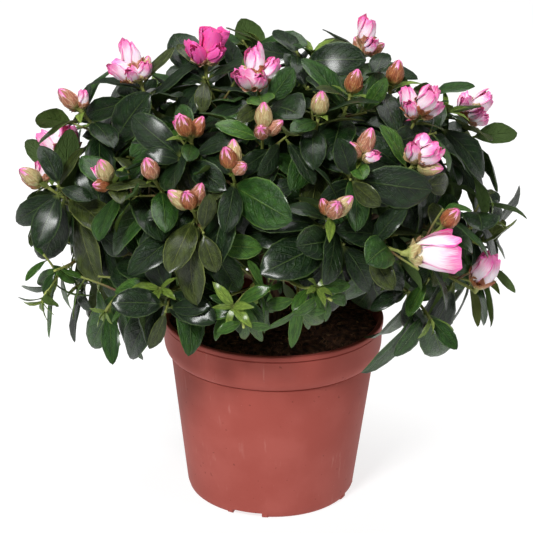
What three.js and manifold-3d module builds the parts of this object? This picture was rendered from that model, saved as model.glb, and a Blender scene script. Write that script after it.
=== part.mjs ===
// A potted azalea: a low dome of leafy, budding shoots on one short forked trunk, growing in a
// round plastic nursery pot filled with peat.
// Millimetres, +Z up, the origin in the middle of the pot's underside. The plant's front is -Y.
//
// The crown is worked out from its dome. Shoot tips are dealt over the dome: the flowering ones
// have places of their own, the leafy ones lie along a spiral. Each tip belongs to the nearest of
// sixteen masses, and each mass hangs on one limb. A mass is a hub, a twig to each of its tips,
// and the leaves and buds of those twigs, all fused into one solid.

import * as THREE from "three";
import { mergeVertices } from "three/addons/utils/BufferGeometryUtils.js";
import Module from "manifold-3d";

const wasm = await Module();
wasm.setup();

// ---------------------------------------------------------------- sizes

const GAP = 0.3; // between two pieces that touch on the real plant

const POT = {
  height: 110,
  rimRadius: 65,
  wall: 1.6,
  baseRadius: 49.5,
  creaseRadius: 60.3, // where the collar begins
  creaseHeight: 87.5,
  collarRound: 9, // the height over which the collar rounds out to the rim's radius
  footHeight: 3.5, // the floor is raised by this much, on a ring and a middle pad
  footWidth: 5,
  padRadius: 12,
  slots: 4,
  slotWidth: 18,
  slotHeight: 3.2,
  slotBearing: -16, // degrees from the front
  drainRadius: 4,
  drainRing: 30,
  segments: 30,
};
const SOIL = { centreHeight: 104.5, edgeHeight: 102, flatRadius: 14 };

const CROWN = {
  centre: new THREE.Vector3(0, 0, 163),
  across: 131, // radii out to the shoot tips; the leaves reach on from there
  deep: 120,
  up: 104,
  down: 72,
};
const SPIRAL = { tips: 96, top: 86, bottom: -34, spacing: 38 }; // degrees of rise, and mm
const OPEN_FRONT = { halfWidth: 62, below: 158 }; // no leafy shoot here: the soil shows
const GOLDEN_ANGLE = 137.508;

const TRUNK = { foot: [-3, 5], footRadius: 5.4, tipRadius: 1.9, flare: 1.5, knee: [3, -2, 140] };
const HUB_RADIUS = 2.3;
// The five main boughs leave the trunk, and two side boughs leave each of them, at these shares of
// the way along. The hub is where a limb ends, as a share of the way from the crown's centre out.
const MAIN = {
  count: 5,
  turn: 18, // the first one's bearing
  rise: 50,
  hub: 0.46,
  start: 0.1,
  startStep: 0.05,
  footRadius: 3,
  tipRadius: 1.7,
};
const SIDE = {
  swing: 19, // degrees to either side of the main bough
  rise: 4,
  hub: 0.5,
  start: { a: 0.26, b: 0.38 },
  footRadius: 2.2,
  tipRadius: 1.5,
};
const TOP = { rise: 88, hub: 0.42 };
const LIMB = { sides: 5, steps: 5 };
const TWIG = { footRadius: 1.35, tipRadius: 1, sides: 3, steps: 3 };

const LEAF = {
  count: 7, // on a shoot
  youngest: 26,
  oldest: 43,
  width: 0.58, // as a share of the length
  thickness: 0.9,
  root: 0.4, // how far the leaf runs on behind the twig's middle line
  clearance: 0.6, // kept from all that isn't its own shoot
  swings: [0, 15, -15, 30, -30], // degrees it may turn round the twig to find room
  shrinks: [1, 0.8],
};
const YOUNG_SHOOT = 0.66; // the size of its leaves, as a share of a grown shoot's
// Along a leaf, as shares of its length and of its half width: the root, the end of the stalk,
// the thickest place on the rib, the widest place and the tip.
const LEAF_OUTLINE = [[0, 0], [0.15, 0.12], [0.45, 0], [0.6, 1.08], [1, 0]];

// The shoots that flower, or that stand out by their young leaves or by their place. The bearing
// is in degrees from the front, positive to the right; the rise is above the crown's centre; the
// reach is a share of the dome's radius; the swing turns the shoot over to the right.
const NAMED_TIPS = [
  // bearing, rise, reach, kind, swing
  [-77, 56, 1.07, "opening", 0],
  [-82, 72, 1.0, "opening", 10],
  [-13, 69, 1.0, "opening", -5],
  [147, 48, 1.08, "opening", 5],
  [60, 49, 1.02, "opening", 0],
  [45, 37, 1.0, "opening", 20],
  [113, 29, 1.05, "opening", 10],
  [-88, 25, 0.97, "opening", -15],
  [-81, 40, 1.1, "cluster", -10],
  [-50, 28, 1.0, "cluster", -5],
  [-36, 33, 1.0, "bud", 0],
  [-31, 47, 1.0, "cluster", 0],
  [-22, 27, 1.0, "cluster", 0],
  [-13, 39, 1.0, "cluster", 5],
  [-5, 51, 1.0, "cluster", 10],
  [18, 57, 1.0, "bud", 0],
  [42, 63, 1.0, "bud", 5],
  [27, 42, 1.0, "cluster", 5],
  [14, 26, 1.0, "cluster", 5],
  [33, 13, 0.98, "bloom", 75],
  [66, -15, 0.98, "bloom", 10],
  [10, 6, 0.98, "young", 35],
  [46, 18, 1.0, "bud", 0],
  [-73, 19, 1.08, "cluster", -10],
  [76, 60, 1.0, "bud", 0],
  [-70, -22, 1.15, "young", -50],
  [-10, -2, 0.96, "young", 0],
  [-48, -18, 1.0, "leafy", -40],
  [80, 8, 0.96, "leafy", 15],
  [48, -22, 0.96, "leafy", 30],
  [88, -22, 1.0, "leafy", 20],
  [166, 32, 1.0, "cluster", 0],
  [-160, 44, 1.0, "opening", 0],
  [-172, 12, 1.0, "cluster", 0],
  [135, 10, 0.92, "bloom", 20],
  [-135, 18, 1.0, "cluster", 0],
];

// The buds of a flowering shoot: how many, their size, and how far they lean from the shoot.
const BUDS = {
  bud: { count: 1, length: 13, width: 7, lean: 4 },
  cluster: { count: 2, length: 13, width: 7, lean: 30 },
  opening: { count: 3, length: 18, width: 9.5, lean: 40 },
};
const BLOOM = { length: 26, mouthRadius: 12, throatRadius: 3 };

const COLOURS = {
  terracotta: { color: 0x9c4a3c, roughness: 0.45 },
  peat: { color: 0x1d1512, roughness: 1 },
  bark: { color: 0x5a4030, roughness: 0.9 },
  foliage: { color: 0x26381f, roughness: 0.5 },
};

// ---------------------------------------------------------------- small tools

const radians = THREE.MathUtils.degToRad;
const degrees = THREE.MathUtils.radToDeg;
const UP = new THREE.Vector3(0, 0, 1);
const group = new THREE.Group();

// The same numbers on every run, from one seed.
function random(seed) {
  let state = seed >>> 0;
  return () => {
    state = (state + 0x6d2b79f5) >>> 0;
    let t = Math.imul(state ^ (state >>> 15), state | 1);
    t = (t + Math.imul(t ^ (t >>> 7), t | 61)) ^ t;
    return ((t ^ (t >>> 14)) >>> 0) / 4294967296;
  };
}

function toSolid(geometry) {
  geometry.deleteAttribute("normal");
  geometry.deleteAttribute("uv");
  const merged = mergeVertices(geometry, 1e-4);
  const corners = merged.index.array;
  const triangles = [];
  for (let i = 0; i < corners.length; i += 3) {
    const [a, b, c] = corners.slice(i, i + 3);
    if (a !== b && b !== c && c !== a) triangles.push(a, b, c);
  }
  const vertices = Float32Array.from(merged.attributes.position.array);
  const mesh = { numProp: 3, vertProperties: vertices, triVerts: Uint32Array.from(triangles) };
  return new wasm.Manifold(new wasm.Mesh(mesh));
}

function addNode(name, solid, colour) {
  const { vertProperties, triVerts } = solid.getMesh();
  const geometry = new THREE.BufferGeometry()
    .setAttribute("position", new THREE.BufferAttribute(vertProperties, 3))
    .setIndex(new THREE.BufferAttribute(triVerts, 1));
  const mesh = new THREE.Mesh(geometry, new THREE.MeshStandardMaterial(colour));
  mesh.name = name;
  group.add(mesh);
}

const fuse = (solids) => wasm.Manifold.union(solids);

function largestBody(solid) {
  return solid.decompose().sort((a, b) => b.volume() - a.volume())[0];
}

function boxesMeet(a, b) {
  const [p, q] = [a.boundingBox(), b.boundingBox()];
  return [0, 1, 2].every((i) => p.min[i] < q.max[i] && q.min[i] < p.max[i]);
}

const touches = (a, b) => boxesMeet(a, b) && !a.intersect(b).isEmpty();

// Carries every vertex of a geometry to a place worked out from where it was.
function reshape(geometry, place) {
  const position = geometry.attributes.position;
  for (let i = 0; i < position.count; i++) {
    const { x, y, z } = place(new THREE.Vector3().fromBufferAttribute(position, i));
    position.setXYZ(i, x, y, z);
  }
  return geometry;
}

// Turns a shape that stands on the origin so that it points along `way`, and roots it at `at`.
function stand(geometry, way, at) {
  const turn = new THREE.Quaternion().setFromUnitVectors(UP, way);
  return geometry.applyQuaternion(turn).translate(at.x, at.y, at.z);
}

// A tapering limb: a cylinder whose rings are carried along a curve.
function limb(curve, radiusAt, sides, steps) {
  const { normals, binormals } = curve.computeFrenetFrames(steps);
  return toSolid(
    reshape(new THREE.CylinderGeometry(1, 1, 1, sides, steps), ({ x, y, z }) => {
      const ring = Math.round((y + 0.5) * steps);
      const radius = radiusAt(ring / steps);
      return curve
        .getPointAt(ring / steps)
        .addScaledVector(binormals[ring], x * radius)
        .addScaledVector(normals[ring], z * radius);
    }),
  );
}

const taper = ({ footRadius, tipRadius }, extra = 0) =>
  (share) => footRadius + (tipRadius - footRadius) * share + extra;

// A solid of revolution about +Z. The profile runs up the outside and back down the inside.
function lathe(profile, segments) {
  const points = profile.map(([radius, height]) => new THREE.Vector2(radius, height));
  return new THREE.LatheGeometry(points, segments).rotateX(Math.PI / 2);
}

// ---------------------------------------------------------------- pot and soil

// The pot's side as [radius, height] from the foot to the rim, moved inward by `inset`.
function potSide(inset) {
  const { height, rimRadius, baseRadius, creaseRadius, creaseHeight, collarRound } = POT;
  return [
    [baseRadius, POT.footHeight],
    [creaseRadius, creaseHeight],
    [rimRadius - 1.2, creaseHeight + 0.55 * collarRound],
    [rimRadius - 0.1, creaseHeight + collarRound],
    [rimRadius, height - 2],
  ].map(([radius, z]) => [radius - inset, z]);
}

function potSolid() {
  const { height, rimRadius, wall, baseRadius, footHeight, footWidth, padRadius } = POT;
  const floor = footHeight + wall;
  const shell = lathe(
    [
      [0, 0],
      [padRadius, 0],
      [padRadius + 1, footHeight],
      [baseRadius - footWidth - 1, footHeight],
      [baseRadius - footWidth, 0],
      [baseRadius - 2, 0],
      ...potSide(0),
      [rimRadius - 1, height],
      [rimRadius - 3, height],
      ...potSide(wall).slice(1).reverse(),
      [baseRadius + 0.2 - wall, floor],
      [0, floor],
    ],
    POT.segments,
  );
  const cuts = [];
  for (let i = 0; i < POT.slots; i++) {
    const bearing = radians(POT.slotBearing + (360 / POT.slots) * i);
    const slot = new THREE.BoxGeometry(POT.slotWidth, 2 * footWidth + 2, 2 * POT.slotHeight);
    slot.translate(0, footWidth / 2 - baseRadius, 0).rotateZ(bearing);
    const drain = new THREE.CylinderGeometry(POT.drainRadius, POT.drainRadius, 6 * wall, 6);
    drain.rotateX(Math.PI / 2).translate(0, -POT.drainRing, floor).rotateZ(bearing);
    cuts.push(toSolid(slot), toSolid(drain));
  }
  return toSolid(shell).subtract(fuse(cuts));
}

function soilSolid() {
  const { centreHeight, edgeHeight, flatRadius } = SOIL;
  const inset = POT.wall + GAP;
  const floor = POT.footHeight + POT.wall + GAP;
  return toSolid(
    lathe(
      [
        [0, floor],
        [POT.baseRadius + 0.2 - inset, floor],
        ...potSide(inset).slice(1, -1),
        [POT.rimRadius - 0.1 - inset, edgeHeight],
        [0.6 * POT.rimRadius, (centreHeight + edgeHeight) / 2],
        [flatRadius, centreHeight],
        [0, centreHeight],
      ],
      POT.segments,
    ),
  );
}

// The filled pot, a little larger all round: no shoot may enter it.
function filledPot(extra) {
  return toSolid(
    lathe(
      [
        [0, -extra],
        ...potSide(-extra),
        [POT.rimRadius + extra, POT.height + extra],
        [POT.rimRadius - 4, POT.height + extra],
        [POT.rimRadius - 5, SOIL.edgeHeight + extra],
        [SOIL.flatRadius, SOIL.centreHeight + extra],
        [0, SOIL.centreHeight + extra],
      ],
      POT.segments,
    ),
  );
}

// ---------------------------------------------------------------- the crown's plan

// The dome's point at a bearing and a rise, and the way square out of the dome there.
function onDome(bearing, rise, reach = 1) {
  const [b, r] = [radians(bearing), radians(rise)];
  const radii = new THREE.Vector3(CROWN.across, CROWN.deep, rise > 0 ? CROWN.up : CROWN.down);
  const way = new THREE.Vector3(Math.sin(b), -Math.cos(b), Math.tan(r)).multiplyScalar(Math.cos(r));
  const point = way.clone().multiply(radii).multiplyScalar(reach).add(CROWN.centre);
  return { point, out: way.divide(radii).normalize() };
}

// A shoot leaves the dome and turns up to the light, the low ones less than the high ones.
function tipAt(bearing, rise, reach, kind, swing) {
  const { point, out } = onDome(bearing, rise, reach);
  const axis = out.clone().addScaledVector(UP, rise > 0 ? 0.75 : 0.3).normalize();
  const front = new THREE.Vector3(0, -1, 0);
  return { point, kind, axis: axis.applyAxisAngle(front, radians(-swing)) };
}

function inOpenFront({ x, y, z }) {
  return y < 0 && Math.abs(x) < OPEN_FRONT.halfWidth && z < OPEN_FRONT.below;
}

function crownTips() {
  const tips = NAMED_TIPS.map((row) => tipAt(...row));
  const [top, bottom] = [Math.sin(radians(SPIRAL.top)), Math.sin(radians(SPIRAL.bottom))];
  for (let i = 0; i < SPIRAL.tips; i++) {
    const rise = degrees(Math.asin(top + ((bottom - top) * (i + 0.5)) / SPIRAL.tips));
    const reach = 0.95 + 0.02 * ((i * 7) % 5);
    const tip = tipAt(i * GOLDEN_ANGLE, rise, reach, "leafy", 0);
    const crowded = tips.some(({ point }) => point.distanceTo(tip.point) < SPIRAL.spacing);
    if (!crowded && !inOpenFront(tip.point)) tips.push(tip);
  }
  return tips.map((tip, index) => ({ ...tip, index }));
}

// One mass at the top, one on each main bough, and one on each of a main bough's two side boughs.
function crownMasses(tips) {
  const masses = [{ name: "foliage_top", bearing: 0, ...TOP }];
  for (let i = 0; i < MAIN.count; i++) {
    const bearing = MAIN.turn + (360 / MAIN.count) * i;
    masses.push({ name: `foliage_upper_${i + 1}`, bearing, rise: MAIN.rise, hub: MAIN.hub });
    for (const [letter, swing] of [["a", -SIDE.swing], ["b", SIDE.swing]]) {
      const name = `foliage_lower_${i + 1}${letter}`;
      masses.push({ name, bearing: bearing + swing, rise: SIDE.rise, hub: SIDE.hub });
    }
  }
  for (const mass of masses) {
    const { point } = onDome(mass.bearing, mass.rise);
    mass.way = point.clone().sub(CROWN.centre).normalize();
    mass.hub = CROWN.centre.clone().lerp(point, mass.hub);
    mass.tips = [];
  }
  for (const tip of tips) {
    const way = tip.point.clone().sub(CROWN.centre).normalize();
    masses.reduce((a, b) => (b.way.dot(way) > a.way.dot(way) ? b : a)).tips.push(tip);
  }
  return masses;
}

// ---------------------------------------------------------------- trunk and boughs

function trunkCurve(end) {
  const foot = new THREE.Vector3(...TRUNK.foot, SOIL.centreHeight + GAP - 2);
  return new THREE.QuadraticBezierCurve3(foot, new THREE.Vector3(...TRUNK.knee), end);
}

const trunkRadius = (extra) => (share) =>
  taper(TRUNK)(share ** 0.8) * (1 + (TRUNK.flare - 1) * Math.max(0, 1 - 6 * share)) + extra;

// A bough sags a little on its way from its parent out to its hub.
function boughCurve(foot, hub) {
  const knee = foot.clone().lerp(hub, 0.5);
  knee.z -= 0.12 * foot.distanceTo(hub);
  return new THREE.QuadraticBezierCurve3(foot, knee, hub);
}

function hubSolid({ hub }, extra = 0) {
  const knot = new THREE.IcosahedronGeometry(HUB_RADIUS + 1.3 * extra, 0);
  return toSolid(knot.translate(hub.x, hub.y, hub.z));
}

// ---------------------------------------------------------------- shoots

// The way square to an axis, at an angle round it.
function aroundAxis(axis, angle) {
  const side = new THREE.Vector3().crossVectors(axis, UP);
  if (side.lengthSq() < 1e-6) side.set(1, 0, 0);
  return side.normalize().applyAxisAngle(axis, angle);
}

// The way that leans off an axis, towards an angle round it.
function leaning(axis, lean, angle) {
  const way = axis.clone().multiplyScalar(Math.cos(lean));
  return way.addScaledVector(aroundAxis(axis, angle), Math.sin(lean));
}

// A twig leaves its hub and ends along its shoot's axis.
function twigCurve(hub, { point, axis }) {
  const bend = point.clone().addScaledVector(axis, -0.42 * hub.distanceTo(point));
  return new THREE.QuadraticBezierCurve3(hub, bend, point);
}

// A point of a twig's straight pieces, at a share of the way along.
function onTwig(curve, share) {
  const place = share * TWIG.steps;
  const ring = Math.floor(place);
  const from = curve.getPointAt(ring / TWIG.steps);
  return from.lerp(curve.getPointAt((ring + 1) / TWIG.steps), place - ring);
}

// A shoot's leaves, from the youngest at its tip to the oldest.
function leafPlans(tip, curve) {
  const draw = random(1000 + 97 * tip.index);
  const turn = 360 * draw();
  const reach = curve.getLength();
  return Array.from({ length: LEAF.count }, (_, i) => {
    const age = i / (LEAF.count - 1);
    const [a, b, c, d, e] = [draw(), draw(), draw(), draw(), draw()];
    const below = 3.5 + 1.7 * i + 8 * age * age;
    const grown = LEAF.youngest + (LEAF.oldest - LEAF.youngest) * Math.min(1, 1.6 * age);
    return {
      tip,
      age,
      at: onTwig(curve, 1 - below / reach),
      angle: turn + i * GOLDEN_ANGLE + 24 * (a - 0.5),
      pitch: 52 + 56 * age + 22 * (b - 0.5),
      length: grown * (0.86 + 0.28 * c) * (tip.kind === "young" ? YOUNG_SHOOT : 1),
      arch: radians(20 + 34 * d + 14 * age),
      roll: 70 * (e - 0.5),
    };
  });
}

// A leaf is a six-cornered blade, thickest on its rib, that arches over from its root.
function leafSolid({ tip, age, at, angle, pitch, length, arch, roll }, extra = 0) {
  const way = leaning(tip.axis, radians(pitch), radians(angle));
  way.addScaledVector(UP, -0.35 * age).normalize();
  const face = tip.axis.clone().addScaledVector(UP, 0.5);
  face.addScaledVector(way, -face.dot(way)).normalize().applyAxisAngle(way, radians(roll));
  const across = new THREE.Vector3().crossVectors(way, face);
  const bend = (length + extra) / arch;
  return toSolid(
    reshape(new THREE.SphereGeometry(1, 6, 2), ({ x, y, z }) => {
      const [along, wide] = LEAF_OUTLINE[Math.round(2 * x + 2)];
      const turned = arch * along;
      const rise = y * (LEAF.thickness / 2 + extra) - bend * (1 - Math.cos(turned));
      const half = wide * 0.5 * LEAF.width * length + extra;
      return at
        .clone()
        .addScaledVector(way, bend * Math.sin(turned) - LEAF.root)
        .addScaledVector(face, rise)
        .addScaledVector(across, (z / Math.sin(Math.PI / 3)) * half);
    }),
  );
}

function budSolids(tip) {
  const { count, length, width, lean } = BUDS[tip.kind];
  const draw = random(5000 + 131 * tip.index);
  const turn = 360 * draw();
  return Array.from({ length: count }, (_, i) => {
    const angle = turn + (360 / count) * i + 30 * (draw() - 0.5);
    const size = 0.84 + 0.32 * draw();
    const bud = new THREE.SphereGeometry(1, 5, 2).rotateX(Math.PI / 2);
    bud.scale(width / 2, width / 2, length / 2 + 0.8).translate(0, 0, length / 2 - 0.8);
    bud.scale(size, size, size);
    const way = leaning(tip.axis, radians(i === 0 ? 0.3 * lean : lean), radians(angle));
    return toSolid(stand(bud, way, tip.point));
  });
}

// A half-open flower: a funnel of petals with a hollow mouth.
function bloomSolid({ axis, point }) {
  const { length, mouthRadius, throatRadius } = BLOOM;
  const funnel = lathe(
    [
      [0, -1.5],
      [throatRadius, 0],
      [0.72 * mouthRadius, 0.38 * length],
      [mouthRadius, 0.86 * length],
      [0.96 * mouthRadius, length],
      [0.7 * mouthRadius, 0.8 * length],
      [0, 0.5 * length],
    ],
    7,
  );
  return toSolid(stand(funnel, axis, point));
}

function blossomSolids(tip) {
  if (tip.kind === "bloom") return [bloomSolid(tip)];
  return tip.kind in BUDS ? budSolids(tip) : [];
}

// ---------------------------------------------------------------- the plant put together

const masses = crownMasses(crownTips());
const [top, ...others] = masses;

// Every limb, with the curve it follows, the limb it grows from and the mass it carries.
const trunk = { name: "trunk", path: trunkCurve(top.hub), radius: trunkRadius, mass: top };
const limbs = [trunk];
for (const mass of others) {
  const [, level, label] = mass.name.match(/foliage_(upper|lower)_(.+)/);
  const main = level === "upper";
  const number = parseInt(label);
  const parent = main ? trunk : limbs.find(({ name }) => name === `bough_${number}`);
  const step = main ? MAIN.startStep * ((2 * number) % MAIN.count) : 0;
  const share = main ? MAIN.start + step : SIDE.start[label.at(-1)];
  limbs.push({
    name: main ? `bough_${number}` : `side_bough_${label}`,
    path: boughCurve(parent.path.getPointAt(share), mass.hub),
    radius: (extra) => taper(main ? MAIN : SIDE, extra),
    parent,
    mass,
  });
}

// A limb is cut a gap clear of the limb it grows from and of the hub it carries.
const grownLimb = ({ path, radius }, extra) => limb(path, radius(extra), LIMB.sides, LIMB.steps);
for (const item of limbs) {
  const cuts = [hubSolid(item.mass, GAP)];
  if (item.parent) cuts.push(grownLimb(item.parent, 1.2 * GAP));
  item.solid = largestBody(grownLimb(item, 0).subtract(fuse(cuts)));
}

// The trunk's foot is a flat cut, a gap above the soil.
const ground = new THREE.BoxGeometry(60, 60, 20).translate(0, 0, SOIL.centreHeight + GAP - 10);
trunk.solid = trunk.solid.subtract(toSolid(ground));

// Twigs, buds and flowers come first. A twig that would touch another mass or a limb is left out
// with all it bears, and so is a bud.
const taken = limbs.map(({ solid }) => ({ solid }));
taken.push({ solid: filledPot(LEAF.clearance) });
const isClear = (mass) => (solid) =>
  !taken.some((other) => other.mass !== mass && touches(solid, other.solid));

const leaves = [];
for (const mass of masses) {
  mass.solids = [hubSolid(mass)];
  for (const tip of mass.tips) {
    const curve = twigCurve(mass.hub, tip);
    const twig = limb(curve, taper(TWIG), TWIG.sides, TWIG.steps);
    if (!isClear(mass)(twig)) continue;
    const blossom = blossomSolids(tip).filter(isClear(mass));
    mass.solids.push(twig, ...blossom);
    taken.push({ solid: twig, mass, tip }, ...blossom.map((solid) => ({ solid, mass })));
    for (const plan of leafPlans(tip, curve)) leaves.push({ mass, ...plan });
  }
}

// Then the leaves, the youngest of every shoot before the older ones. A leaf that finds no room,
// even turned or smaller, is left out.
function roomyLeaf(leaf) {
  for (const shrink of LEAF.shrinks) {
    for (const swing of LEAF.swings) {
      const tried = { ...leaf, angle: leaf.angle + swing, length: leaf.length * shrink };
      const padded = leafSolid(tried, LEAF.clearance);
      if (!taken.some(({ solid, tip }) => tip !== leaf.tip && touches(padded, solid))) {
        return leafSolid(tried);
      }
    }
  }
  return null;
}

for (const leaf of leaves.sort((a, b) => a.age - b.age)) {
  const solid = roomyLeaf(leaf);
  if (!solid) continue;
  leaf.mass.solids.push(solid);
  taken.push({ solid, mass: leaf.mass, tip: leaf.tip });
}

addNode("pot", potSolid(), COLOURS.terracotta);
addNode("soil", soilSolid(), COLOURS.peat);
for (const { name, solid } of limbs) addNode(name, solid, COLOURS.bark);
for (const { name, solids } of masses) addNode(name, largestBody(fuse(solids)), COLOURS.foliage);

export default group;
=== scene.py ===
# %% [markdown]
# # A potted azalea
# A florists' azalea is a small evergreen shrub, sold in bud in a plain plastic pot. This lesson
# dresses its solid model: the pot and the peat are turned, the wood is carried along curves, and
# the crown grows shoot by shoot from one seeded rule. The first cell loads the solid model and
# keeps its box, because the dressed plant has to fill the same space.

# %% The frame
import math

import bmesh
import bpy
import numpy as np
from mathutils import Matrix, Vector, noise
from mathutils.bvhtree import BVHTree


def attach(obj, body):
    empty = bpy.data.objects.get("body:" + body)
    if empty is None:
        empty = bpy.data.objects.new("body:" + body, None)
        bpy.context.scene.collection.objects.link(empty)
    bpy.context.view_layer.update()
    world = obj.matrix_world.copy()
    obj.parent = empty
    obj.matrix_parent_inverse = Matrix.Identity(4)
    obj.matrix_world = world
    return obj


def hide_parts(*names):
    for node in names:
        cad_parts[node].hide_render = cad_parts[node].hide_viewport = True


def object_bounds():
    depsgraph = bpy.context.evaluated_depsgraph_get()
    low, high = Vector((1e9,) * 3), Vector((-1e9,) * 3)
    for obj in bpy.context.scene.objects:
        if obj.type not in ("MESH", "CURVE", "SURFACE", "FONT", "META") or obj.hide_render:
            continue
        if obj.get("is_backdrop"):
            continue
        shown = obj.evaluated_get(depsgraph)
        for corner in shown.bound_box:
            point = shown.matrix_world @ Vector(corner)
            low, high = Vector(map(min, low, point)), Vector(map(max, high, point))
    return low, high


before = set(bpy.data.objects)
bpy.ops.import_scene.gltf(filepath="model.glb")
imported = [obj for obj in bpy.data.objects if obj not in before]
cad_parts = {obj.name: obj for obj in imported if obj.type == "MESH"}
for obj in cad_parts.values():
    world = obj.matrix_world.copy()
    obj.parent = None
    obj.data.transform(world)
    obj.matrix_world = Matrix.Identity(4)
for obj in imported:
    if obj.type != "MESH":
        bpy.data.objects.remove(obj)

CAD_BOX = [list(corner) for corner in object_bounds()]
MM = 0.001
print("CAD box in mm:", [[round(c / MM, 1) for c in corner] for corner in CAD_BOX])

# %% [markdown]
# ## Shader maths as plain sums
# A pattern is a sum over a place on the surface. Wired by hand, each plus sign is a node and two
# links. The class `Wire` holds one socket and lets Python's own operators add those nodes, so a
# pattern can be read as one line. `Finish` is a material whose other nodes come from one method.

# %% Wires
class Wire:
    """One socket, with Python's operators."""

    def __init__(self, finish, socket):
        self.finish, self.socket = finish, socket

    def math(self, operation, *others):
        inputs = dict(enumerate((self, *others)))
        return self.finish.node("Math", {"operation": operation}, inputs)

    def __add__(self, other):
        return self.math("ADD", other)

    def __sub__(self, other):
        return self.math("SUBTRACT", other)

    def __rsub__(self, other):
        return (self * -1).math("ADD", other)

    def __mul__(self, other):
        return self.math("MULTIPLY", other)

    def __abs__(self):
        return self.math("ABSOLUTE")

    __radd__ = __add__

    def step(self, low, high):
        """0 below low, 1 above high and a smooth rise between."""
        settings = {"interpolation_type": "SMOOTHSTEP"}
        return self.finish.node("MapRange", settings, {0: self, 1: low, 2: high})


# %% Finishes
UV_NAME = "OFBake"  # the map through which leaves and petals are painted


class Finish:
    """A material, built from its Principled shader outwards."""

    def __init__(self, name, **constants):
        self.material = bpy.data.materials.new(name)
        self.material.use_nodes = True
        self.tree = self.material.node_tree
        self.shader = self.tree.nodes["Principled BSDF"]
        for socket, value in constants.items():
            self.shader.inputs[socket.replace("_", " ")].default_value = value

    def feed(self, place, value):
        if isinstance(value, Wire):
            self.tree.links.new(value.socket, place)
        else:
            place.default_value = value

    def node(self, kind, settings=None, inputs=None, output=0):
        """A node's output, after its settings are made and its inputs are fed."""
        node = self.tree.nodes.new("ShaderNode" + kind)
        for name, value in (settings or {}).items():
            setattr(node, name, value)
        for place, value in (inputs or {}).items():
            self.feed(node.inputs[place], value)
        return Wire(self, node.outputs[output])

    def mix(self, mask, first, second):
        """The first colour where the mask is 0, the second where it is 1."""
        return self.node(
            "Mix", {"data_type": "RGBA", "clamp_factor": True}, {0: mask, 6: first, 7: second}, 2
        )

    def part(self, place, index):
        """One coordinate of a place: 0 for X, 1 for Y, 2 for Z."""
        return self.node("SeparateXYZ", {}, {0: place}, index)

    def on_map(self):
        """The place on the piece's own map."""
        return self.node("UVMap", {"uv_map": UV_NAME})

    def noise(self, place, scale, detail):
        """Noise over a place, whose three coordinates are scaled first."""
        scaled = self.node("Mapping", {}, {0: place, 3: scale})
        return self.node("TexNoise", {}, {"Vector": scaled, "Scale": 1.0, "Detail": detail})

    def grain(self, size, detail=3.0, stretch=(1, 1, 1)):
        """Noise in the object's own space, with lumps of about `size` metres."""
        return self.noise(self.node("TexCoord", output=3), [s / size for s in stretch], detail)

    def surface(self, **links):
        """Feeds the shader's sockets, which are named with _ for each space."""
        for socket, value in links.items():
            self.feed(self.shader.inputs[socket.replace("_", " ")], value)
        return self

    def bump(self, height, distance, strength):
        inputs = {"Height": height, "Distance": distance, "Strength": strength}
        return self.surface(Normal=self.node("Bump", {}, inputs))


def colour(red, green, blue):
    """A colour by its screen values, 0 to 255, as the linear light that shaders use."""
    shares = [c / 255 for c in (red, green, blue)]
    return [c / 12.92 if c <= 0.04045 else ((c + 0.055) / 1.055) ** 2.4 for c in shares] + [1]


print("terracotta in linear light:", [round(c, 3) for c in colour(168, 88, 78)])

# %% [markdown]
# ## Small shapes, many times
# A crown has a thousand leaves, and an operator for each would take minutes. So each small shape
# is made once by bmesh operators, and its corners are then carried to each place by one sum over
# all of them. `Shape` is such a pattern piece. `Heap` collects its copies and becomes one object.

# %% Shapes
def lowest_corner(loop):
    return tuple(round(c, 3) for c in loop.vert.co[:2])


class Shape:
    """A small mesh: its corners, its faces, and for each face's corners a place on the map.

    A face starts at its lowest corner in X and Y, so that all faces split along the same diagonal.
    """

    def __init__(self, bm, place_on_map):
        bm.verts.index_update()
        self.points = np.array([v.co[:] for v in bm.verts])
        self.faces, self.map = [], []
        for face in bm.faces:
            loops = list(face.loops)
            first = loops.index(min(loops, key=lowest_corner))
            loops = loops[first:] + loops[:first]
            self.faces.append([loop.vert.index for loop in loops])
            self.map += [place_on_map(face, loop.vert) for loop in loops]
        bm.free()


# %% Heaps and pieces
class Heap:
    """Copies of small shapes, which become one mesh."""

    def __init__(self):
        self.points, self.faces, self.map, self.count = [], [], [], 0

    def add(self, shape, points):
        first = self.count
        self.points.append(points)
        self.faces += [[first + corner for corner in face] for face in shape.faces]
        self.map += shape.map
        self.count += len(points)

    def piece(self, name, finish, slot, nodes):
        mesh = bpy.data.meshes.new(name)
        mesh.from_pydata((np.vstack(self.points) * MM).tolist(), [], self.faces)
        layer = mesh.uv_layers.new(name=UV_NAME)
        layer.data.foreach_set("uv", np.array(self.map, dtype=np.float32).ravel())
        return show(mesh, name, finish, nodes)


def placed(name, data):
    """A new object in the scene."""
    item = bpy.data.objects.new(name, data)
    bpy.context.scene.collection.objects.link(item)
    return item


def show(mesh, name, finish, nodes):
    """A finished piece: smooth, in its finish, riding on the plant, in place of its nodes."""
    mesh.validate()
    mesh.polygons.foreach_set("use_smooth", [True] * len(mesh.polygons))
    mesh.materials.append(finish.material)
    piece = placed(name, mesh)
    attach(piece, "root")
    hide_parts(*nodes)
    print(f"{name}: {len(mesh.polygons)} faces")
    return piece


def to_mesh(bm, name):
    """The mesh of a bmesh whose corners are in millimetres."""
    bmesh.ops.scale(bm, vec=(MM, MM, MM), verts=bm.verts)
    bmesh.ops.recalc_face_normals(bm, faces=bm.faces)
    mesh = bpy.data.meshes.new(name)
    bm.to_mesh(mesh)
    bm.free()
    return mesh


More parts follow.
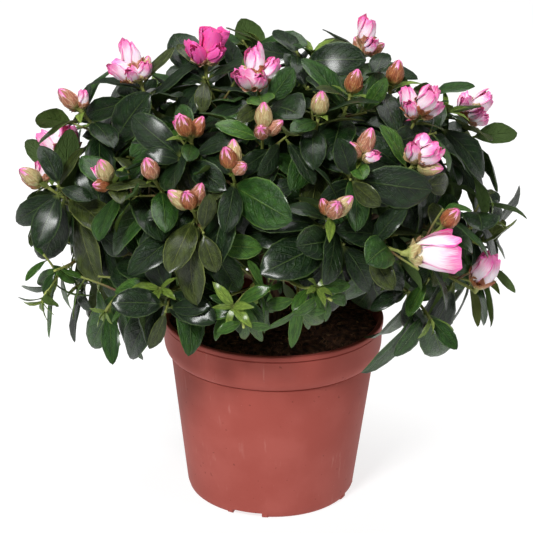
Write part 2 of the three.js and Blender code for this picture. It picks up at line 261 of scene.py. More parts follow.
# %% [markdown]
# ## The pot
# A nursery pot is moulded from thin polypropylene: a tapering body, a fine groove under a collar
# that rolls out to a beaded rim, and a raised floor on a foot ring with four slots for the water.
# It is turned from one profile by `spin`, which keeps its wall even, and booleans open the slots
# and the drain holes. The profile's round stretches are arcs, so the lip and the collar catch the
# light in soft bands instead of facets.

# %% Pot sizes
# The rim, the base, the crease under the collar, the pad and the drain holes go by their radii.
POT = dict(height=110, rim=65, wall=1.6, base=49.5, crease=60.3, crease_height=87.5, foot=3.5)
FOOT_WIDTH, PAD = 5, 12
SLOTS, SLOT_WIDTH, SLOT_HEIGHT, SLOT_BEARING = 4, 18, 3.2, -16
DRAIN, DRAIN_RING = 4, 30
ROLL, BEAD, BEAD_HEIGHT = 9.0, 0.7, 2.8  # the collar's roll, and the bead that stands out above it
LIP, LIP_WIDTH = 1.0, 3.4  # the lip's rounding, and how far it reaches in from the rim
TURN_STEPS = 180


def arc(centre, radius, start, end, steps):
    """Points [radius, height] on an arc from one angle to another, in degrees."""
    angles = np.radians(np.linspace(start, end, steps))
    return [(centre[0] + radius * math.cos(a), centre[1] + radius * math.sin(a)) for a in angles]


def collar(inset):
    """The pot's side from just above the groove: a roll outwards, then the upright band."""
    rim, foot = POT["rim"] - BEAD - inset, POT["crease_height"]
    wide = rim - POT["crease"] + inset
    return [
        (rim - wide * (1 - math.cos(a)) * 0.92, foot + ROLL + ROLL * math.sin(a) * 0.96)
        for a in np.radians(np.linspace(-78, 0, 9))
    ]


def pot_profile():
    """Points [radius, height] from the middle of the underside, up the outside and back inside."""
    height, rim, wall, base = POT["height"], POT["rim"], POT["wall"], POT["base"]
    foot, floor = POT["foot"], POT["foot"] + wall
    crease, groove = POT["crease"], POT["crease_height"]
    underside = [(0, 0), (PAD, 0), (PAD + 1, foot), (base - FOOT_WIDTH - 1, foot)]
    ring = [(base - FOOT_WIDTH, 0)] + arc((base - 2.6, 2.4), 2.4, -90, -6, 6)
    levels = (4.2, 5.4, 8, 14, 40, groove - 1.0)
    side = [(np.interp(z, [0, groove], [base, crease]), z) for z in levels]
    fine_groove = [(crease - 0.2, groove - 0.8), (crease - 0.8, groove - 0.3), (crease + 0.7, groove + 0.2)]
    notch = height - BEAD_HEIGHT
    bead = [(rim - BEAD, notch - 1.2), (rim - BEAD - 0.8, notch - 0.3), (rim - 0.05, notch)]
    lip = arc((rim - LIP, height - LIP), LIP, 0, 90, 5)
    lip += arc((rim - LIP_WIDTH + LIP, height - LIP), LIP, 90, 180, 5)
    inside = [(rim - LIP_WIDTH, height - 1.8), (rim - LIP_WIDTH, height - 4.5), *reversed(collar(wall))]
    inner_floor = [(crease - wall, groove), (base + 0.2 - wall, floor + 1.2), (base - 1.2 - wall, floor)]
    outside = underside + ring + side + fine_groove + collar(0) + bead + lip
    return outside + inside + inner_floor + [(0, floor)]


profile = pot_profile()
print("points on the pot's profile:", len(profile))


# %% Turning the pot
def turned(profile, steps):
    """A closed solid of revolution from a profile that starts and ends on the axis."""
    bm = bmesh.new()
    corners = [bm.verts.new((0, -radius, height)) for radius, height in profile]
    edges = [bm.edges.new(pair) for pair in zip(corners, corners[1:])]
    bmesh.ops.spin(
        bm, geom=corners + edges, cent=(0, 0, 0), axis=(0, 0, 1), angle=math.tau, steps=steps,
        use_merge=True,
    )
    bmesh.ops.remove_doubles(bm, verts=bm.verts, dist=1e-4)
    return bm


# %% Slots with a raised border, and drain holes
BORDER, BORDER_RISE = 3.2, 0.4  # how far the border stands round the slot, and out of the wall
BORDER_FOOT, BORDER_EDGE = 2.2, 0.3  # its roundings, at the ground and along the top


def slot_turns():
    """The turn about the pot's axis that brings the front to each slot."""
    bearings = [SLOT_BEARING + 360 / SLOTS * i for i in range(SLOTS)]
    return [Matrix.Rotation(math.radians(bearing), 4, "Z") for bearing in bearings]


def slot_boxes(width, depth, height):
    """A box across the foot ring at each slot, with its middle on the ground."""
    bm = bmesh.new()
    for turn in slot_turns():
        box = Matrix.Translation((0, FOOT_WIDTH / 2 - POT["base"], 0))
        box @= Matrix.Diagonal((width, depth, 2 * height, 1))
        bmesh.ops.create_cube(bm, size=1, matrix=turn @ box)
    return bm


def foot_cutters():
    """The boxes and rods whose shapes leave the slots in the foot ring and the drain holes."""
    bm = slot_boxes(SLOT_WIDTH, 2 * FOOT_WIDTH + 2, SLOT_HEIGHT)
    for turn in slot_turns():
        rod = Matrix.Translation((0, -DRAIN_RING, POT["foot"] + POT["wall"]))
        bmesh.ops.create_cone(
            bm, cap_ends=True, segments=32, radius1=DRAIN, radius2=DRAIN, depth=6 * POT["wall"],
            matrix=turn @ rod,
        )
    return bm


def combined(mesh, other, operation):
    """The mesh that two meshes give by a boolean operation."""
    objects = [placed("body", mesh), placed("other", other)]
    boolean = objects[0].modifiers.new("boolean", "BOOLEAN")
    boolean.operation, boolean.object, boolean.solver = operation, objects[1], "EXACT"
    depsgraph = bpy.context.evaluated_depsgraph_get()
    result = bpy.data.meshes.new_from_object(objects[0].evaluated_get(depsgraph))
    for item in objects:
        bpy.data.objects.remove(item)
    return result


def slot_borders():
    """The blocks that stand out of the foot ring, and that the slots are cut through."""
    out, top = POT["base"] + BORDER_RISE, SLOT_HEIGHT + BORDER
    foot = arc((out - BORDER_FOOT, BORDER_FOOT), BORDER_FOOT, -90, 0, 6)
    edge = arc((out - BORDER_EDGE, top - BORDER_EDGE), BORDER_EDGE, 0, 90, 3)
    disc = to_mesh(turned([(0, 0), *foot, *edge, (0, top)], TURN_STEPS), "border_disc")
    boxes = to_mesh(slot_boxes(SLOT_WIDTH + 2 * BORDER, 2 * FOOT_WIDTH - 2, top), "boxes")
    return combined(disc, boxes, "INTERSECT")


pot_mesh = combined(to_mesh(turned(profile, TURN_STEPS), "pot_turned"), slot_borders(), "UNION")
pot_mesh = combined(pot_mesh, to_mesh(foot_cutters(), "cutters"), "DIFFERENCE")
print("pot corners:", len(pot_mesh.vertices))

# %% [markdown]
# ## The pot's plastic
# The plastic is a matt terracotta. Its pigment is nearly even, so the interest is in the surface: a
# faint orange-peel, soft clouds, and pale upright scuffs where pots were stacked in one another.

# %% Terracotta plastic
terracotta = Finish("terracotta_plastic", Specular_IOR_Level=0.1)
cloud = terracotta.grain(0.03, 4.0)
streak = terracotta.grain(0.003, 3.0, (1, 1, 0.12))
speck = terracotta.grain(0.0012, 2.0)
soot = terracotta.grain(0.0021, 0.0)
clay = terracotta.mix(cloud.step(0.35, 0.7), colour(158, 77, 68), colour(167, 86, 77))
scuff = streak.step(0.6, 0.74) * cloud.step(0.48, 0.6) * 0.22 + speck.step(0.72, 0.8) * 0.2
clay = terracotta.mix(scuff, clay, colour(206, 158, 148))
terracotta.surface(
    Base_Color=terracotta.mix(soot.step(0.8, 0.84) * 0.5, clay, colour(96, 44, 38)),
    Roughness=0.5 + scuff * 0.3 + cloud * 0.08,
)
terracotta.bump(speck * 0.4 + streak * 0.5, 0.0001, 0.6)
pot_piece = show(pot_mesh, "pot_shell", terracotta, ["pot"])
pot_piece.data.set_sharp_from_angle(angle=math.radians(38))

# %% [markdown]
# ## The peat
# The pot is filled with dark fibrous peat to just under the lip. A flat brown disc would give the
# pot away, so the turned surface has many rings, noise lifts it into crumbs and hollows, and loose
# crumbs and short fibres lie on it. Each crumb is an icosphere whose corners are pushed about.

# %% The body of the peat
SOIL = dict(centre=104.5, edge=102.0, flat=14)  # two levels, and the radius of the level middle
INNER = POT["rim"] - POT["wall"] - 0.5  # the radius of the peat at its top
SEED = 41


def soil_height(radius):
    """The peat's level at a distance from the middle, before it is roughened."""
    levels = [SOIL["centre"], SOIL["centre"], SOIL["edge"]]
    return float(np.interp(radius, [0, SOIL["flat"], INNER], levels))


def crumbly(point):
    """How far the peat stands off its level at a point, in millimetres."""
    place = Vector((point.x, point.y, 0))
    coarse = noise.noise(place / 9 + Vector((SEED, 0, 0)))
    fine = noise.noise(place / 2.6 + Vector((0, SEED, 0)))
    return 0.9 * coarse + 0.75 * fine


rings = [(r, soil_height(r)) for r in np.arange(INNER - 0.2, 1.0, -1.3)]
bottom = POT["foot"] + POT["wall"] + 0.4
side = [(POT["crease"] - 2.1, POT["crease_height"])] + [(r - 0.4, z) for r, z in collar(POT["wall"])]
soil = turned([(0, bottom), (POT["base"] - 1.9, bottom), *side, *rings, (0, SOIL["centre"])], 150)
for vertex in soil.verts:
    if vertex.co.z > POT["height"] - 10:
        fade = min(1.0, (INNER - vertex.co.xy.length) / 2)
        vertex.co.z += crumbly(vertex.co) * fade - 0.8 * (1 - fade)
soil_mesh = to_mesh(soil, "peat")
print("peat corners:", len(soil_mesh.vertices))

# %% Peat colours
peat = Finish("potting_peat", Roughness=0.95, Specular_IOR_Level=0.2)
lump = peat.grain(0.004, 5.0)
fibre = peat.grain(0.0016, 4.0, (1, 0.25, 1))
earth = peat.mix(lump.step(0.35, 0.7), colour(48, 33, 27), colour(116, 80, 62))
peat.surface(Base_Color=peat.mix(fibre.step(0.58, 0.7) * 0.7, earth, colour(150, 106, 76)))
peat.bump(lump + fibre * 0.5, 0.0008, 0.9)
show(soil_mesh, "peat", peat, ["soil"])

# %% Loose crumbs and fibres
CRUMBS = 1500  # one in four is a fibre, and every second fibre and a few crumbs are pale


def plain_map(face, vertex):
    return (0.5, 0.5)


def crumb_shape():
    bm = bmesh.new()
    bmesh.ops.create_icosphere(bm, subdivisions=1, radius=1)
    return Shape(bm, plain_map)


def fibre_shape():
    bm = bmesh.new()
    bmesh.ops.create_cone(bm, cap_ends=True, segments=4, radius1=1, radius2=0.6, depth=2)
    return Shape(bm, plain_map)


def turned_anyhow(draw):
    """A rotation by chance, as rows of a matrix."""
    angles = [math.tau * draw.random() for _ in range(3)]
    return np.array(Matrix.Rotation(angles[0], 3, "X") @ Matrix.Rotation(angles[1], 3, "Z"))


pale = Finish("peat_pale", Roughness=0.9, Specular_IOR_Level=0.2)
tone = pale.grain(0.006, 2.0)
pale.surface(Base_Color=pale.mix(tone.step(0.4, 0.6), colour(104, 70, 48), colour(178, 138, 100)))
pale.bump(pale.grain(0.0006), 0.0002, 0.6)

draw = np.random.default_rng(SEED)
crumb, strand = crumb_shape(), fibre_shape()
crumbs, pale_bits = Heap(), Heap()
for index in range(CRUMBS):
    radius = (INNER - 1.6) * math.sqrt(draw.random())
    angle = math.tau * draw.random()
    at = Vector((radius * math.cos(angle), radius * math.sin(angle), 0))
    at.z = soil_height(radius) + crumbly(at)
    size = 0.35 + 1.5 * draw.random() ** 3
    spin = turned_anyhow(draw)
    scale = size * np.array([1, 0.6 + 0.4 * draw.random(), 0.7])
    shape, jitter, heap = crumb, 1 + 0.3 * (draw.random((len(crumb.points), 1)) - 0.5), crumbs
    if index % 4 == 0:
        shape, jitter = strand, 1
        scale = np.array([0.15, 0.15, 1.5 + 3.5 * draw.random() ** 2])
        lie = Matrix.Rotation(angle * 7, 3, "Z") @ Matrix.Rotation(1.35 + 0.3 * draw.random(), 3, "Y")
        spin, heap = np.array(lie), crumbs if index % 8 else pale_bits
    elif index % 50 == 1:
        heap = pale_bits
    heap.add(shape, (shape.points * jitter * scale) @ spin.T + np.array(at) + [0, 0, 0.2])
crumbs.piece("peat_crumbs", peat, "peat", ["soil"])
pale_bits.piece("peat_fibres", pale, "peat", ["soil"])

# %% [markdown]
# ## The crown's rule
# The crown repeats the rule that the solid model grows by, with the same sizes and the same seeded
# numbers, so that every shoot here stands where its solid does. Shoot tips are dealt over a dome.
# The flowering ones and a few others have places of their own, the rest lie along a golden spiral,
# and a tip that would crowd another is dropped.

# %% Crown sizes
CENTRE = Vector((0, 0, 163))
ACROSS, DEEP, CROWN_UP, CROWN_DOWN = 131, 120, 104, 72  # the dome's reach, from its centre
SPIRAL_TIPS, SPIRAL_TOP, SPIRAL_BOTTOM = 96, 86, -34  # how many tips, and their range in degrees
TIP_SPACING = 38
OPEN_FRONT_HALF, OPEN_FRONT_BELOW = 62, 158  # no spiral tip hangs in front of the pot
GOLDEN_ANGLE = 137.508
UP = Vector((0, 0, 1))
GAP = 0.3  # what the solids keep clear of one another

# bearing and rise in degrees, reach as a share of the dome's, kind, swing to the right in degrees
NAMED_TIPS = [
    (-77, 56, 1.07, "opening", 0),
    (-82, 72, 1.0, "opening", 10),
    (-13, 69, 1.0, "opening", -5),
    (147, 48, 1.08, "opening", 5),
    (60, 49, 1.02, "opening", 0),
    (45, 37, 1.0, "opening", 20),
    (113, 29, 1.05, "opening", 10),
    (-88, 25, 0.97, "opening", -15),
    (-81, 40, 1.1, "cluster", -10),
    (-50, 28, 1.0, "cluster", -5),
    (-36, 33, 1.0, "bud", 0),
    (-31, 47, 1.0, "cluster", 0),
    (-22, 27, 1.0, "cluster", 0),
    (-13, 39, 1.0, "cluster", 5),
    (-5, 51, 1.0, "cluster", 10),
    (18, 57, 1.0, "bud", 0),
    (42, 63, 1.0, "bud", 5),
    (27, 42, 1.0, "cluster", 5),
    (14, 26, 1.0, "cluster", 5),
    (33, 13, 0.98, "bloom", 75),
    (66, -15, 0.98, "bloom", 10),
    (10, 6, 0.98, "young", 35),
    (46, 18, 1.0, "bud", 0),
    (-73, 19, 1.08, "cluster", -10),
    (76, 60, 1.0, "bud", 0),
    (-70, -22, 1.15, "young", -50),
    (-10, -2, 0.96, "young", 0),
    (-48, -18, 1.0, "leafy", -40),
    (80, 8, 0.96, "leafy", 15),
    (48, -22, 0.96, "leafy", 30),
    (88, -22, 1.0, "leafy", 20),
    (166, 32, 1.0, "cluster", 0),
    (-160, 44, 1.0, "opening", 0),
    (-172, 12, 1.0, "cluster", 0),
    (135, 10, 0.92, "bloom", 20),
    (-135, 18, 1.0, "cluster", 0),
]
print("tips with places of their own:", len(NAMED_TIPS))


# %% Tips on the dome
def draws(seed):
    """The solid model's own seeded numbers."""
    state, low = seed & 0xFFFFFFFF, 0xFFFFFFFF
    while True:
        state = (state + 0x6D2B79F5) & low
        t = ((state ^ (state >> 15)) * (state | 1)) & low
        t = ((t + (((t ^ (t >> 7)) * (t | 61)) & low)) & low) ^ t
        yield (t ^ (t >> 14)) / 4294967296


def on_dome(bearing, rise, reach=1.0):
    """The dome's point at a bearing and a rise, and the way square out of it there."""
    b, r = math.radians(bearing), math.radians(rise)
    radii = Vector((ACROSS, DEEP, CROWN_UP if rise > 0 else CROWN_DOWN))
    way = Vector((math.sin(b), -math.cos(b), math.tan(r))) * math.cos(r)
    point = Vector(w * s for w, s in zip(way, radii)) * reach + CENTRE
    return point, Vector(w / s for w, s in zip(way, radii)).normalized()


class Tip:
    """A shoot's end: where it is, which way it points and what it bears."""

    def __init__(self, bearing, rise, reach, kind, swing):
        self.point, self.out = on_dome(bearing, rise, reach)
        axis = (self.out + UP * (0.75 if rise > 0 else 0.3)).normalized()
        self.axis = Matrix.Rotation(math.radians(-swing), 3, (0, -1, 0)) @ axis
        self.kind, self.index = kind, 0


def crown_tips():
    tips = [Tip(*row) for row in NAMED_TIPS]
    top, bottom = math.sin(math.radians(SPIRAL_TOP)), math.sin(math.radians(SPIRAL_BOTTOM))
    for i in range(SPIRAL_TIPS):
        rise = math.degrees(math.asin(top + (bottom - top) * (i + 0.5) / SPIRAL_TIPS))
        tip = Tip(i * GOLDEN_ANGLE, rise, 0.95 + 0.02 * ((i * 7) % 5), "leafy", 0)
        x, y, z = tip.point
        in_front = y < 0 and abs(x) < OPEN_FRONT_HALF and z < OPEN_FRONT_BELOW
        crowded = any((other.point - tip.point).length < TIP_SPACING for other in tips)
        if not in_front and not crowded:
            tips.append(tip)
    for index, tip in enumerate(tips):
        tip.index = index
    return tips


tips = crown_tips()
print("shoot tips in all:", len(tips))

# %% [markdown]
# ## Masses and limbs
# Each tip hangs on whichever of sixteen hubs lies most nearly its own way from the dome's centre.
# Each hub sits at the end of one limb: the trunk, five boughs off it, and two side boughs off each
# bough. Every limb follows a bent curve. `Path` holds such a curve as points at even steps along
# it, which is all that the shapes ask for.

# %% Paths, masses and limbs
# A hub's place is a share of the way to the dome, and a bough starts at a share of its limb.
# Turns, swings and rises are in degrees.
BOUGHS, BOUGH_TURN, BOUGH_RISE, BOUGH_HUB = 5, 18, 50, 0.46
BOUGH_START, BOUGH_STEP = 0.1, 0.05
SIDE_SWING, SIDE_RISE, SIDE_HUB = 19, 4, 0.5
SIDE_START = {"a": 0.26, "b": 0.38}
TOP_RISE, TOP_HUB = 88, 0.42
TRUNK_FOOT, TRUNK_KNEE, TRUNK_SUNK = (-3, 5), Vector((3, -2, 140)), 2


class Path:
    """A quadratic curve, as points at even steps along it."""

    STEPS = 64

    def __init__(self, start, bend, end):
        t = np.linspace(0, 1, 201)[:, None]
        a, b, c = (np.array(p) for p in (start, bend, end))
        points = a * (1 - t) ** 2 + 2 * b * t * (1 - t) + c * t**2
        run = np.concatenate([[0], np.cumsum(np.linalg.norm(np.diff(points, axis=0), axis=1))])
        self.length = run[-1]
        even = np.linspace(0, self.length, self.STEPS + 1)
        self.points = np.stack([np.interp(even, run, points[:, k]) for k in range(3)], axis=1)

    def at(self, shares):
        """The points at shares of the way along, one row each."""
        known = np.linspace(0, 1, self.STEPS + 1)
        return np.stack([np.interp(shares, known, self.points[:, k]) for k in range(3)], axis=-1)

    def point(self, share):
        return Vector(self.at(share))


class Mass:
    """One mass of the foliage: its hub, and the tips that hang on it."""

    def __init__(self, name, bearing, rise, hub_share):
        self.name, self.tips = name, []
        point, _ = on_dome(bearing, rise)
        self.way = (point - CENTRE).normalized()
        self.hub = CENTRE.lerp(point, hub_share)


def crown_masses():
    masses = [Mass("foliage_top", 0, TOP_RISE, TOP_HUB)]
    for i in range(BOUGHS):
        bearing = BOUGH_TURN + 360 / BOUGHS * i
        masses.append(Mass(f"foliage_upper_{i + 1}", bearing, BOUGH_RISE, BOUGH_HUB))
        for letter, swing in (("a", -SIDE_SWING), ("b", SIDE_SWING)):
            name = f"foliage_lower_{i + 1}{letter}"
            masses.append(Mass(name, bearing + swing, SIDE_RISE, SIDE_HUB))
    for tip in tips:
        way = (tip.point - CENTRE).normalized()
        max(masses, key=lambda mass: mass.way.dot(way)).tips.append(tip)
    return masses


def bough_path(foot, hub):
    knee = foot.lerp(hub, 0.5)
    knee.z -= 0.12 * (hub - foot).length
    return Path(foot, knee, hub)


masses = crown_masses()
foot = Vector((*TRUNK_FOOT, SOIL["centre"] + GAP - TRUNK_SUNK))
limbs = {"trunk": Path(foot, TRUNK_KNEE, masses[0].hub)}
for mass in masses[1:]:
    level, label = mass.name.split("_")[1:]
    number = int(label[0])
    if level == "upper":
        start = limbs["trunk"].point(BOUGH_START + BOUGH_STEP * ((2 * number) % BOUGHS))
        limbs[f"bough_{number}"] = bough_path(start, mass.hub)
    else:
        start = limbs[f"bough_{number}"].point(SIDE_START[label[1]])
        limbs[f"side_bough_{label}"] = bough_path(start, mass.hub)
print("limbs:", len(limbs), "tips on each mass:", [len(mass.tips) for mass in masses])

# %% [markdown]
# ## Wood
# Azalea wood is thin and crooked, grey-brown where it is old, with shallow ridges that run along
# it and a swelling where each shoot forked. One cylinder with many rings is the pattern piece. Its
# rings are carried along a limb's path, and their radius is roughened by noise that is stretched
# along the limb, so the outline itself is uneven and not only its shading.

# %% Tubes along a path
def tube_shape(sides, rings):
    """An upright cylinder with rings, 1 across and 0 to 1 high, closed at both ends."""
    bm = bmesh.new()
    bmesh.ops.create_cone(
        bm, cap_ends=True, segments=sides, radius1=1, radius2=1, depth=1,
        matrix=Matrix.Translation((0, 0, 0.5)),
    )
    upright = [e for e in bm.edges if abs(e.verts[0].co.z - e.verts[1].co.z) > 0.5]
    bmesh.ops.subdivide_edges(bm, edges=upright, cuts=rings - 1, use_grid_fill=True)

    def place(face, vertex):
        middle = face.calc_center_median()
        turn = (math.atan2(vertex.co.y, vertex.co.x) / math.tau) % 1
        half = (math.atan2(middle.y, middle.x) / math.tau) % 1
        return (turn + (turn < half - 0.4) - (turn > half + 0.4), vertex.co.z)

    return Shape(bm, place)


def sweep(shape, path, radius_at, stretch_noise=0.0):
    """The tube's points, carried along a path."""
    share = shape.points[:, 2]
    step = 1e-3
    tangent = path.at(np.minimum(1, share + step)) - path.at(np.maximum(0, share - step))
    tangent /= np.linalg.norm(tangent, axis=1)[:, None]
    side = np.cross(tangent, [0.31, 0.87, 0.38])
    side /= np.linalg.norm(side, axis=1)[:, None]
    other = np.cross(tangent, side)
    radius = radius_at(share)
    if stretch_noise:
        angle = np.arctan2(shape.points[:, 1], shape.points[:, 0])
        rough = [
            noise.noise(Vector((3 * math.cos(a), 3 * math.sin(a), s * path.length / 5)))
            + 0.6 * noise.noise(Vector((7 * math.cos(a), 7 * math.sin(a), s * path.length / 2.5)))
            for a, s in zip(angle, share)
        ]
        radius = radius * (1 + stretch_noise * np.array(rough))
    x, y = shape.points[:, 0] * radius, shape.points[:, 1] * radius
    return path.at(share) + side * x[:, None] + other * y[:, None]


limb_shape = tube_shape(16, 48)
print("corners of each limb:", len(limb_shape.points))


# %% Limbs with bark
def swollen(foot_radius, tip_radius, flare=1.0):
    """A limb's radius along its length: a taper, a flare at the foot and a knot at the end."""

    def radius_at(share):
        taper = foot_radius + (tip_radius - foot_radius) * share**0.8
        foot_swell = 1 + (flare - 1) * np.maximum(0, 1 - 6 * share) ** 1.5
        knot = 1 + 0.35 * np.exp(-(((share - 1) / 0.05) ** 2))
        return taper * foot_swell * knot

    return radius_at


# radius at the foot, radius at the tip, flare
LIMB_RADII = {"trunk": (5.4, 1.9, 1.5), "bough": (3.0, 1.7, 1.15), "side": (2.2, 1.5, 1.15)}
wood = Heap()
for name, path in limbs.items():
    radii = LIMB_RADII[name.split("_")[0]]
    wood.add(limb_shape, sweep(limb_shape, path, swollen(*radii), 0.13))

bark = Finish("azalea_bark", Roughness=0.85, Specular_IOR_Level=0.3)
ridge = bark.grain(0.0022, 4.0, (1, 1, 0.3))
patch = bark.grain(0.012, 3.0)
old_wood = bark.mix(ridge.step(0.35, 0.65), colour(70, 50, 38), colour(128, 100, 78))
bark.surface(Base_Color=bark.mix(patch.step(0.5, 0.7) * 0.5, old_wood, colour(146, 128, 110)))
bark.bump(ridge, 0.0006, 0.8)
wood.piece("woody_stems", bark, "bark", list(limbs))

# %% [markdown]
# ## Shoots
# A twig bends from its hub to its tip and ends along the shoot's own axis. Real twigs also fork on
# the way, so each bears side shoots inside the dome, which fill it as the inner growth of a real
# bush does. Wood of the year runs from brown at its foot to green at its end, by the twig's own
# map, and the youngest shoots are green all along.

# %% Twigs
TWIG_SIDES, TWIG_RINGS = 6, 14
SIDE_SHOOTS = 4  # on each twig


def around(axis, angle):
    """The way square to an axis, at an angle round it, as the solid model counts it."""
    side = axis.cross(UP)
    side = side.normalized() if side.length > 1e-3 else Vector((1, 0, 0))
    return Matrix.Rotation(angle, 3, axis) @ side


def leaning(axis, lean, angle):
    return axis * math.cos(lean) + around(axis, angle) * math.sin(lean)


def twig_path(hub, tip):
    bend = tip.point - tip.axis * (0.42 * (tip.point - hub).length)
    return Path(hub, bend, tip.point)


class Shoot:
    """A twig with its leaves: a whole shoot at a tip, or a short side shoot further in."""

    def __init__(self, path, axis, tip, main):
        self.path, self.axis, self.tip, self.main = path, axis, tip, main


shoots = []
for mass in masses:
    for tip in mass.tips:
        path = twig_path(mass.hub, tip)
        shoots.append(Shoot(path, tip.axis, tip, True))
        chance = draws(9000 + 53 * tip.index)
        for i in range(SIDE_SHOOTS):
            start = path.point(0.34 + 0.15 * i)
            out = (start - CENTRE).normalized()
            upward = (out + UP * 0.5).normalized()
            axis = leaning(upward, math.radians(55), math.tau * next(chance))
            reach = 13 + 9 * next(chance)
            end = start + axis * reach + out * 4
            side_path = Path(start, start + axis * reach * 0.4, end)
            shoots.append(Shoot(side_path, axis, tip, False))
print("shoots:", len(shoots))

# %% The twigs' shape and colours
twig_shape = tube_shape(TWIG_SIDES, TWIG_RINGS)
twigs, green_twigs = Heap(), Heap()
for shoot in shoots:
    thick = (1.15, 0.85) if shoot.main else (0.8, 0.6)
    shoot.points = sweep(twig_shape, shoot.path, swollen(*thick), 0.08)
    heap = green_twigs if shoot.tip.kind == "young" else twigs
    heap.add(twig_shape, shoot.points)


def twig_finish(name, foot, end):
    """Bark that runs from one colour at the twig's foot to another at its end."""
    finish = Finish(name, Roughness=0.6, Specular_IOR_Level=0.4)
    along = finish.part(finish.on_map(), 1)
    return finish.surface(Base_Color=finish.mix(along.step(0.15, 0.8), foot, end))


mass_names = [mass.name for mass in masses]
young_wood = twig_finish("young_wood", colour(96, 66, 46), colour(124, 132, 64))
green_wood = twig_finish("green_wood", colour(128, 112, 60), colour(164, 174, 92))
twigs.piece("twigs", young_wood, "bark", mass_names)
green_twigs.piece("twigs_green", green_wood, "bark", mass_names)

# %% [markdown]
# ## Blades
# A leaf, a petal and a bud scale are all thin lens-shaped skins, pointed at both ends. One sphere
# of few faces serves for all three: its poles become the root and the tip, and its rings become
# rows across the blade. Each corner keeps three numbers: the share along the blade, the share
# across it, and its side, upper or lower. The two sides lie apart on the map, so each can have its
# own colours.

# %% The pattern for every blade
class Blade(Shape):
    """A blade whose corners are (share along, share across, side)."""

    def __init__(self, rows, widths, segments=8):
        self.rows, self.widths = rows, widths
        steps = len(rows) - 1
        bm = bmesh.new()
        bmesh.ops.create_uvsphere(bm, u_segments=segments, v_segments=steps, radius=1)
        for vertex in bm.verts:
            x, y, z = vertex.co
            row = round(steps * (1 - math.acos(max(-1.0, min(1.0, z))) / math.pi))
            ring = math.hypot(x, y) if 0 < row < steps else 1
            vertex.co = (rows[row], x / ring, y / ring) if 0 < row < steps else (rows[row], 0, 0)

        def place(face, vertex):
            upper = sum(v.co.z for v in face.verts) > 0
            return ((0.25 if upper else 0.75) + 0.24 * vertex.co.y, vertex.co.x)

        super().__init__(bm, place)
        self.free_faces = [f for f in self.faces if min(self.points[f, 0]) > 0.12]

    def outline(self):
        """Each corner's half width, as a share of the widest."""
        return np.interp(self.points[:, 0], self.rows, self.widths)


leaf_blade = Blade(
    rows=[0, 0.05, 0.12, 0.24, 0.40, 0.57, 0.73, 0.87, 0.96, 1],
    widths=[0, 0.07, 0.11, 0.50, 0.86, 1.0, 0.92, 0.64, 0.31, 0],
)
sprout_blade = Blade(
    rows=[0, 0.08, 0.25, 0.45, 0.65, 0.85, 1],
    widths=[0, 0.30, 0.74, 1.0, 0.88, 0.46, 0],
    segments=6,
)
petal_blade = Blade(
    rows=[0, 0.10, 0.25, 0.42, 0.58, 0.73, 0.86, 0.95, 1],
    widths=[0, 0.45, 0.66, 0.84, 0.96, 1.0, 0.93, 0.66, 0],
)
scale_blade = Blade(
    rows=[0, 0.12, 0.32, 0.55, 0.76, 0.91, 1],
    widths=[0, 0.85, 1.0, 0.93, 0.66, 0.32, 0],
    segments=6,
)
blades = (leaf_blade, petal_blade, scale_blade)
print("faces of a leaf, a petal and a scale:", [len(blade.faces) for blade in blades])

# %% [markdown]
# ## Buds and flowers
# Azalea buds stand in clusters on the shoot tips. Each is a furled spindle of petals that wrap one
# another like the skins of an onion, in a cup of scales. So a petal here is a blade wrapped
# on a surface of revolution: its share along sets the height, its share across the angle, and one
# edge lies a little outside the next petal's. The same rule makes a closed bud, an opening one and
# a half-open bell: they differ in the profile that the petals are wrapped on and in the rings that
# the petals stand in. Seven stamens stand in the bell.

# %% Forms of a flower
class Form:
    """A flower's profile (heights and radii as shares), its twist, and how its edges ruffle.

    A ring of petals is a count, shares of the flower's radius and length, a turn past the first
    ring, the span of a petal in radians, and how far its edges part in millimetres. The scales
    stand in `rows` rows and reach a share `cup` of their full height.
    """

    def __init__(self, heights, radii, twist, ruffle, rings, cup, rows):
        self.heights, self.radii, self.twist, self.ruffle = heights, radii, twist, ruffle
        self.rings, self.cup, self.rows = rings, cup, rows


CLOSED = Form(
    [0, 0.1, 0.3, 0.55, 0.8, 0.93, 1], [0.36, 0.74, 1, 0.94, 0.6, 0.3, 0.05], 0.9, 0.0,
    rings=[(5, 1, 1, 0, 2.0, 0.3)], cup=1.0, rows=3,
)
OPENING = Form(
    [0, 0.1, 0.3, 0.55, 0.8, 0.93, 1], [0.3, 0.6, 0.92, 1, 0.86, 0.68, 0.5], 0.9, 0.24,
    rings=[(5, 1, 1, 0, 1.75, 0.4), (4, 0.66, 0.95, 0.6, 2.0, 0.35), (3, 0.34, 0.9, 0, 2.3, 0.25)],
    cup=0.62, rows=2,
)
BELL = Form(
    [0, 0.1, 0.3, 0.55, 0.8, 1], [0.24, 0.44, 0.74, 0.92, 0.98, 0.98], 0.25, 0.22,
    rings=[(5, 1, 1, 0, 1.6, 0.5), (5, 0.8, 0.93, 0.6, 1.5, 0.45)], cup=0.36, rows=2,
)


def wrapped(blade, form, radius, length, turn, span, overlap, seed, high=1.0, lift=0.0):
    """A blade's corners wrapped on a form that stands on the origin along +Z, in millimetres."""
    share, across, side = blade.points.T
    height = high * share
    angle = turn + form.twist * height + span / 2 * across * blade.outline()
    profile = np.interp(height, form.heights, form.radii)
    edge = np.clip(share * 1.4 - 0.55, 0, 1)
    ruffle = form.ruffle * edge * np.sin(5.3 * angle + seed) + 0.5 * form.ruffle * edge * across
    out = radius * (profile + ruffle) + lift + overlap * across + 0.14 * side
    rise = length * (height + 0.25 * form.ruffle * edge * np.cos(7.1 * angle + 2 * seed))
    out = np.maximum(out, 0.05)
    return np.stack([out * np.cos(angle), out * np.sin(angle), rise], axis=1)


